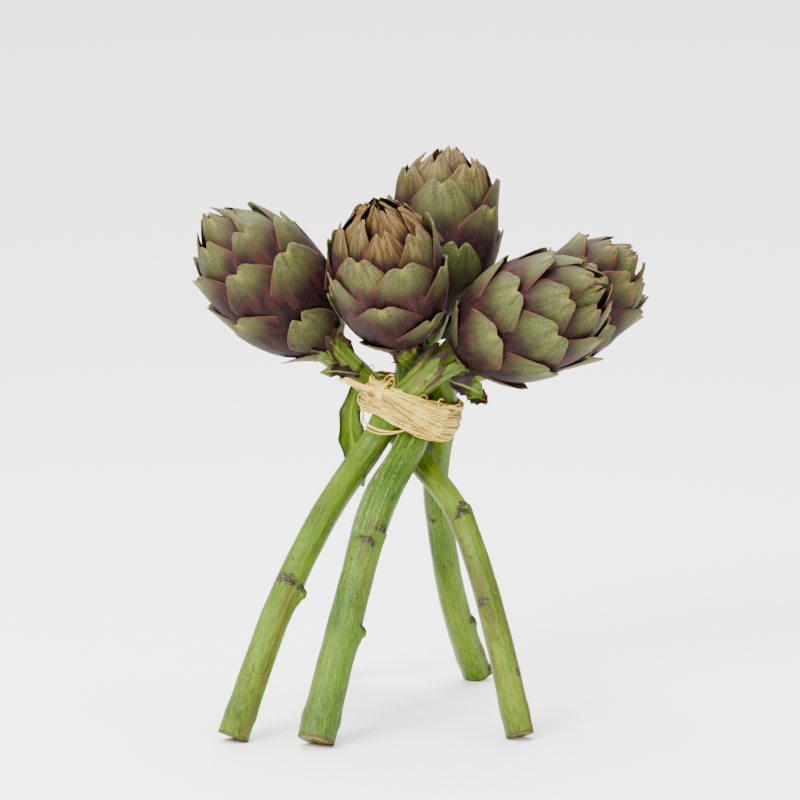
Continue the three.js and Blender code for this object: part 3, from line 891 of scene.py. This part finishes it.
for turn, level, lift, spin, wide, tall in CURLS:
    stops = []
    for k in range(7):
        angle = spin + k * 0.9
        stops.append(on_band(turn + math.degrees(math.cos(angle) * wide * MM / tie_radius) * 1.5,
                             level + math.sin(angle) * tall * MM / tie_half, lift + 0.35 * k - 1))
    way = through(stops, 30)
    ribbon(way, off_band(way), 0.6 * MM, 0.22 * MM, rng.random(), points, faces, tones)
for sag, lift in SAGGING:
    way = through([on_band(-152, -0.55, 0.2), on_band(-138, -0.85 - sag, lift),
                   on_band(-120, -0.95 - sag, lift), on_band(-104, -0.95 - sag * 0.5, lift * 0.6),
                   on_band(-90, -0.8, 0.1)], 24)
    ribbon(way, off_band(way), 0.7 * MM, 0.2 * MM, rng.random(), points, faces, tones)
knot = new_mesh("raffia_knot", points, faces)
put_attribute(knot, "tone", tones)
add_piece("raffia_knot", knot, raffia_material, "raffia", "raffia_tie")

# ---- Leaves -------------------------------------------------------------------------------
# The bunch keeps four small leaves, thin and folded along a pale rib. One hangs down behind the
# left stalk, and three short ones stand out from the necks above the tie.
LEAF_THICKNESS = 0.7 * MM
LEAF_CELLS = (16, 34)         # across and along
LEAF_CUTS = 14                # across the solid leaf, to find its middle line
WIDEST = 0.55                 # where a leaf is broadest, up from its foot
# For each leaf: its breadth against the solid's, how far it is folded along its rib in radians, how
# ruffled its edge is, how it twists, its green, its other colour, and how far up that one reaches
# (a minus sign means from there to the tip, and 0 only along the edge).
LEAVES = {
    "leaf_hanging": (0.84, 0.3, 1.2, 0.3, (0.062, 0.115, 0.001), (0.012, 0.026, 0.001), 0.0),
    "leaf_left": (1.08, 0.35, 0.9, 0.2, (0.11, 0.13, 0.03), (0.012, 0.003, 0.005), 0.78),
    "leaf_right": (1.08, 0.45, 1.1, -0.2, (0.05, 0.08, 0.005), (0.012, 0.003, 0.005), 0.6),
    "leaf_under_right": (1.08, 0.4, 1.8, 0.4, (0.014, 0.034, 0.004), (0.045, 0.006, 0.006), -0.6),
}


def leaf_spine(node):
    """Points along the middle of a leaf from its foot to its tip, half widths, and which way it faces."""
    tris = triangles(node)
    points = tris.reshape(-1, 3)
    middle = points.mean(0)
    along, _, face = np.linalg.svd(points - middle, full_matrices=False)[2]
    if (tie_middle - middle) @ along > 0:
        along = -along
    reach = (points - middle) @ along
    line, width = [], []
    for share in np.linspace(0.02, 0.98, LEAF_CUTS):
        place = middle + along * (reach.min() + share * (reach.max() - reach.min()))
        cut = cut_through(tris, place, along, 40 * MM)
        if cut is not None:
            line.append(cut[0])
            width.append(cut[1].max())
    return smooth(np.array(line), 2), np.array(width), face * (-1 if face[1] > 0 else 1)


def leaf_mesh(node, breadth, fold, ruffle, twist):
    line, width, outward = leaf_spine(node)
    ahead = headings(line)
    half = width.max() * breadth
    seed = sum(ord(c) for c in node)

    def place(a, b, side):
        t = b * (len(line) - 1)
        k = min(int(t), len(line) - 2)
        centre = line[k] + (line[k + 1] - line[k]) * (t - k)
        way = ahead[k]
        normal = outward - way * (outward @ way)
        normal /= np.linalg.norm(normal)
        across = np.cross(way, normal)
        spin = twist * (b - 0.3)
        across, normal = (across * math.cos(spin) + normal * math.sin(spin),
                          normal * math.cos(spin) - across * math.sin(spin))
        lobes = 1 - 0.16 * abs(math.sin(b * 13 + seed + (2 if a > 0 else 0))) * ruffle * abs(a)
        widening = 0.35 + 0.65 * math.sin(min(b / WIDEST, 1) * math.pi / 2)
        narrowing = 1 - max(0, (b - WIDEST) / 0.47) ** 2.2
        broad = half * lobes * widening * narrowing
        wave = 0.8 * MM * ruffle * a * a * math.sin(b * 17 + seed + 2.5 * a)
        rib = 1.0 + 1.6 * math.exp(-(a / 0.13) ** 2) * (1 - 0.7 * b)
        thick = LEAF_THICKNESS / 2 * rib * (1 - 0.6 * a * a)
        lift = fold * abs(a) * broad * 0.8 + wave + (thick if side else -thick)
        return centre + across * a * broad * math.cos(fold) + normal * lift

    points, faces, cells = closed_sheet(*LEAF_CELLS, place)
    mesh = new_mesh(node, points, faces)
    put_attribute(mesh, "edge", [a for a, b, side in cells])
    put_attribute(mesh, "up", [b for a, b, side in cells])
    return mesh


def leaf_skin(node, green, other, reach):
    s = Shader(node)
    up, edge, place = s.attribute("up"), s.attribute("edge"), s.place()
    rim = s.math("ABSOLUTE", edge)
    broad, fine = s.noise(place, 160.0, 3.0), s.noise(place, 1300.0, 2.0)
    slant = s.noise(s.vector(s.sum(s.times(up, 9.0), s.times(rim, -2.5)), s.times(edge, 0.6), 2.0), 2.2, 3.0)
    leaf = s.mix(s.step(slant, 0.4, 0.65), green, tuple(c * 0.55 for c in green))
    where = s.sum(up, s.times(s.sum(broad, -0.5), 0.5))
    if reach > 0:
        leaf = s.mix(s.step(where, reach + 0.12, reach - 0.12), leaf, other)
    elif reach < 0:
        leaf = s.mix(s.step(where, -reach - 0.15, -reach + 0.15), leaf, other)
    else:
        leaf = s.mix(s.step(s.sum(rim, s.times(broad, 0.4)), 0.75, 1.05), leaf, other)
    rib = s.times(s.step(rim, 0.14, 0.05), s.step(up, 1.0, 0.8))
    leaf = s.mix(s.times(rib, 0.5), leaf, (0.20, 0.25, 0.012))
    s.bump(s.sum(slant, s.times(fine, 0.4)), 0.5, 0.5 * MM)
    return s.finish(leaf, s.step(broad, 0.3, 0.7, 0.4, 0.6), Specular_IOR_Level=0.15)


for node, (*form, green, other, reach) in LEAVES.items():
    blade = leaf_mesh(node, *form)
    add_piece(node + "_blade", blade, leaf_skin(node, green, other, reach), "leaf", node)

# ---- Torn leaf bases ----------------------------------------------------------------------
# Where stalk leaves were torn off above the tie, their fleshy bases still clasp the necks. Each
# is a curved strip grown from the stalk, yellow green below, with a dark ragged edge on top.
BASE_THICKNESS = 1.3 * MM
BASE_CELLS = (14, 16)         # across and along
BASE_SINK = 0.7 * MM          # how far the foot of a base lies in the stalk
BASE_CURL = 1.4 * MM          # how wavy its torn top is
# For each: its neck, how far below the head it starts and ends in mm, which way round the stalk it
# sits, half its spread in radians, and how far its top stands off in mm.
LEAF_BASES = (
    ("right", 44, 15, 1.1, 1.1, 4.5), ("right", 26, 3, 2.5, 0.8, 6.0), ("left", 26, 2, 1.9, 0.9, 4.0),
    ("left", 14, -3, 0.5, 0.8, 5.0), ("front", 22, 1, 1.5, 1.0, 4.5), ("front", 30, 8, 2.6, 0.8, 4.0),
    ("back", 36, 8, 1.3, 1.0, 4.0), ("back", 30, 2, 4.4, 0.9, 5.0), ("far", 30, 4, 1.6, 0.9, 5.0),
    ("far", 26, 2, 4.3, 0.9, 5.0), ("right", 24, 0, 4.6, 0.8, 5.0), ("left", 30, 4, 4.5, 0.9, 5.0),
)


def leaf_base(name, start, end, turn, spread, stand_off, seed):
    line, radius = stalk_ways[name]
    ahead, across, away = side_frames(line)
    along = distances(line)
    from_end = (along[-1] - along) / MM

    def place(a, b, side):
        ragged = noise.noise(Vector((a * 3.1, seed * 7.7, 0))) + 0.5 * noise.noise(Vector((a * 9, seed, 3)))
        reach = start + (end - start) * b * (1 + 0.35 * ragged - 0.35 * a * a)
        i = min(max(int(np.searchsorted(-from_end, -reach)) - 1, 0), len(line) - 2)
        share = min(max((from_end[i] - reach) / (from_end[i] - from_end[i + 1]), 0), 1.5)
        centre = line[i] + (line[i + 1] - line[i]) * share
        angle = turn + a * spread * (1 - 0.25 * b)
        out = across[i] * math.cos(angle) + away[i] * math.sin(angle)
        thick = BASE_THICKNESS * (1 - 0.55 * b) * (1 - 0.7 * a * a)
        curl = BASE_CURL * noise.noise(Vector((a * 2.4, b * 3, seed * 3.3))) * b
        lift = stand_off * MM * b ** 2.2 + curl - BASE_SINK * (1 - b)
        return centre + out * (radius[i] + lift + (thick if side else 0))

    return closed_sheet(*BASE_CELLS, place)


def leaf_base_skin():
    s = Shader("leaf_base")
    up, edge, place = s.attribute("up"), s.attribute("edge"), s.place()
    streaks = s.noise(s.vector(s.times(edge, 6.0), s.times(up, 0.8), 1.0), 1.6, 4.0, 0.6)
    broad, fine = s.noise(place, 130.0, 3.0), s.noise(place, 900.0, 2.0)
    flesh = s.mix(s.step(streaks, 0.38, 0.66), (0.045, 0.085, 0.005), (0.155, 0.19, 0.018))
    flesh = s.mix(s.step(broad, 0.52, 0.72), flesh, (0.085, 0.06, 0.012))
    torn = s.step(s.sum(up, s.times(s.sum(broad, -0.5), 0.8), s.times(edge, edge, 0.15)), 0.62, 0.85)
    flesh = s.mix(s.times(torn, 0.92), flesh, s.mix(fine, (0.010, 0.003, 0.004), (0.05, 0.014, 0.014)))
    s.bump(s.sum(streaks, s.times(fine, 0.6)), 0.6, 0.5 * MM)
    return s.finish(flesh, s.step(fine, 0.3, 0.7, 0.42, 0.62), Specular_IOR_Level=0.15)


leaf_base_material = leaf_base_skin()
for name in HEADS:
    points, faces, ups, edges = [], [], [], []
    for seed, (neck, *form) in enumerate(LEAF_BASES):
        if neck != name:
            continue
        more, sides, cells = leaf_base(neck, *form, seed)
        faces += [tuple(i + len(points) for i in face) for face in sides]
        points += more
        ups += [b for a, b, side in cells]
        edges += [a for a, b, side in cells]
    mesh = new_mesh("leaf_bases", points, faces)
    put_attribute(mesh, "up", ups)
    put_attribute(mesh, "edge", edges)
    add_piece("leaf_bases_" + name, mesh, leaf_base_material, "leaf", "stalk_" + name)

# ---- Studio -------------------------------------------------------------------------------
# A pale floor under soft light from the upper left, seen from a little above.
CAMERA_DISTANCE = 3.0
CAMERA_RISE = math.radians(10)
LENS = 270
LOOK_AT = Vector((-11.6, 16.1, 155.5)) * MM
FLOOR_CORNERS = ((-4, -4, 0), (4, -4, 0), (4, 4, 0), (-4, 4, 0))
ROOM_LIGHT = 1.25
# Each light: where it hangs, what it points at, how wide it is and its power in watts.
LIGHTS = {
    "key": ((-0.7, -0.9, 1.1), (0, 0, 0.15), 0.7, 62),
    "fill": ((0.9, -0.8, 0.6), (0, 0, 0.15), 0.9, 12),
    "top": ((0, 0.3, 1.4), (0, 0, 0.1), 1.0, 42),
    "far_floor": ((0, 2.6, 2.2), (0, 2.6, 0), 3.2, 190),
}


for name, (place, aim, size, power) in LIGHTS.items():
    light = bpy.data.lights.new(name, "AREA")
    light.size, light.energy = size, power
    lamp = bpy.data.objects.new(name, light)
    lamp.location = place
    lamp.rotation_euler = (Vector(aim) - Vector(place)).to_track_quat("-Z", "Y").to_euler()
    bpy.context.scene.collection.objects.link(lamp)
world = bpy.data.worlds.new("room")
world.use_nodes = True
background = world.node_tree.nodes["Background"]
background.inputs["Color"].default_value = (1, 1, 1, 1)
background.inputs["Strength"].default_value = ROOM_LIGHT
bpy.context.scene.world = world

floor_material = Shader("pale_floor").finish((0.9, 0.9, 0.89), 0.6)
floor = bpy.data.objects.new("floor", new_mesh("floor", FLOOR_CORNERS, [(0, 1, 2, 3)]))
floor.data.materials.append(floor_material)
bpy.context.scene.collection.objects.link(floor)

camera = bpy.data.objects.new("camera", bpy.data.cameras.new("camera"))
camera.data.lens = LENS
camera.data.sensor_width = 36
camera.location = LOOK_AT + CAMERA_DISTANCE * Vector((0, -math.cos(CAMERA_RISE), math.sin(CAMERA_RISE)))
camera.rotation_euler = (LOOK_AT - camera.location).to_track_quat("-Z", "Y").to_euler()
bpy.context.scene.collection.objects.link(camera)
bpy.context.scene.camera = camera
